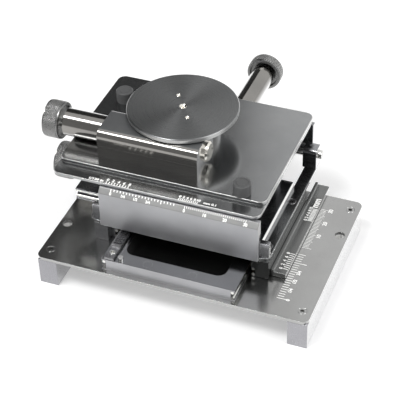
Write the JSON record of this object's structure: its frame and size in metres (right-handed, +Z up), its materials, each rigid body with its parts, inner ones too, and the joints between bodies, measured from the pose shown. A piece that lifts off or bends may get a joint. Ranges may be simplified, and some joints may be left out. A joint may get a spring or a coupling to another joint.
{
  "type": "microscope xy stage",
  "caption": "Two-axis ball-slide microscope stage with rack-and-pinion drives, engraved scales with verniers, and a worm-driven turntable on the top plate.",
  "frame": {"origin": "centre of the base plate's outline, on the surface that the legs stand on", "axes": "+X to the right along the front scale, +Y to the rear, +Z up"},
  "size_m": [0.1494, 0.1505, 0.069],
  "materials": {
    "black_anodised": "black anodised, satin",
    "polished_black": "black anodised over a turned or ground face, semi-gloss",
    "knurled_black": "black anodised, diamond knurl",
    "hardened_steel": "ground and polished",
    "black_steel": "black oxide",
    "nickel": "bright nickel plate",
    "brass": "plain machined"
  },
  "bodies": {
    "base": {"base_plate": "black_anodised", "leg_left": "black_anodised", "leg_right": "black_anodised", "plate_screws": "black_steel", "guide_block": "polished_black", "guide_rods": "hardened_steel", "y_rack": "hardened_steel", "y_rack_screws": "black_steel", "block_screws": "black_steel", "stop_pin": "hardened_steel"},
    "y_carriage": {"carriage_bed": "black_anodised", "bed_screws": "black_steel", "rail_right": "black_anodised", "rail_left": "black_anodised", "gib": "black_anodised", "gib_screws": "black_steel", "rail_rods": "hardened_steel", "front_rail": "black_anodised", "rear_rail": "black_anodised", "x_rail_rods": "hardened_steel", "end_blocks": "black_anodised", "saddle": "black_anodised", "y_vernier_bar": "black_anodised", "rear_plate": "black_anodised", "rod_brackets": "black_anodised", "rod_screws": "black_steel", "cross_rod": "hardened_steel", "y_drive_housing": "black_anodised", "y_drive_sleeve": "polished_black", "x_drive_sleeve": "polished_black"},
    "y_drive": {"y_pinion_shaft": "hardened_steel", "y_knob": "knurled_black"},
    "x_drive": {"x_pinion_shaft": "hardened_steel", "x_knob": "knurled_black"},
    "y_cage_left_body": {"y_cage_left": "brass", "y_balls_left": "hardened_steel"},
    "y_cage_right_body": {"y_cage_right": "brass", "y_balls_right": "hardened_steel"},
    "x_cage_front_body": {"x_cage_front": "brass", "x_balls_front": "hardened_steel"},
    "x_cage_rear_body": {"x_cage_rear": "brass", "x_balls_rear": "hardened_steel"},
    "x_stage": {"x_core": "black_anodised", "x_core_rods": "hardened_steel", "spacer": "black_anodised", "stage_screws": "black_steel", "vernier_plate": "black_anodised", "top_plate": "black_anodised", "x_rack": "hardened_steel", "pegs": "black_anodised", "head_housing": "polished_black", "head_sleeve": "polished_black", "end_nut": "nickel"},
    "worm_drive": {"worm_shaft": "hardened_steel", "head_knob": "knurled_black"},
    "turntable": {"disc": "polished_black", "disc_screws": "black_steel", "hub": "black_anodised", "worm_wheel": "brass"}
  },
  "joints": [
    {"name": "y_slide", "type": "slide", "parent": "base", "child": "y_carriage", "axis": [0, 1, 0], "range_m": [-0.0175, 0.0145]},
    {"name": "x_slide", "type": "slide", "parent": "y_carriage", "child": "x_stage", "axis": [1, 0, 0], "range_m": [0, 0.0345]},
    {"name": "y_knob_turn", "type": "hinge", "parent": "y_carriage", "child": "y_drive", "pos_m": [-0.05, 0.0134, 0.02902], "axis": [1, 0, 0], "range_deg": [-167, 202]},
    {"name": "x_knob_turn", "type": "hinge", "parent": "y_carriage", "child": "x_drive", "pos_m": [-0.0035, 0.07, 0.04167], "axis": [0, 1, 0], "range_deg": [0, 400]},
    {"name": "y_cage_left_roll", "type": "slide", "parent": "base", "child": "y_cage_left_body", "axis": [0, 1, 0], "range_m": [-0.009, 0.0075]},
    {"name": "y_cage_right_roll", "type": "slide", "parent": "base", "child": "y_cage_right_body", "axis": [0, 1, 0], "range_m": [-0.009, 0.0075]},
    {"name": "x_cage_front_roll", "type": "slide", "parent": "y_carriage", "child": "x_cage_front_body", "axis": [1, 0, 0], "range_m": [0, 0.0175]},
    {"name": "x_cage_rear_roll", "type": "slide", "parent": "y_carriage", "child": "x_cage_rear_body", "axis": [1, 0, 0], "range_m": [0, 0.0175]},
    {"name": "head_knob_turn", "type": "hinge", "parent": "x_stage", "child": "worm_drive", "pos_m": [-0.06, 0.0065, 0.0592], "axis": [1, 0, 0], "continuous": true},
    {"name": "turntable_turn", "type": "hinge", "parent": "x_stage", "child": "turntable", "pos_m": [-0.0179, 0.024, 0.0665], "axis": [0, 0, 1], "continuous": true}
  ],
  "couplings": [
    {"joint": "y_knob_turn", "follows": "y_slide", "rad_per_m": -200},
    {"joint": "x_knob_turn", "follows": "x_slide", "rad_per_m": 200},
    {"joint": "y_cage_left_roll", "follows": "y_slide", "ratio": 0.5},
    {"joint": "y_cage_right_roll", "follows": "y_slide", "ratio": 0.5},
    {"joint": "x_cage_front_roll", "follows": "x_slide", "ratio": 0.5},
    {"joint": "x_cage_rear_roll", "follows": "x_slide", "ratio": 0.5},
    {"joint": "turntable_turn", "follows": "head_knob_turn", "ratio": -0.027778}
  ]
}
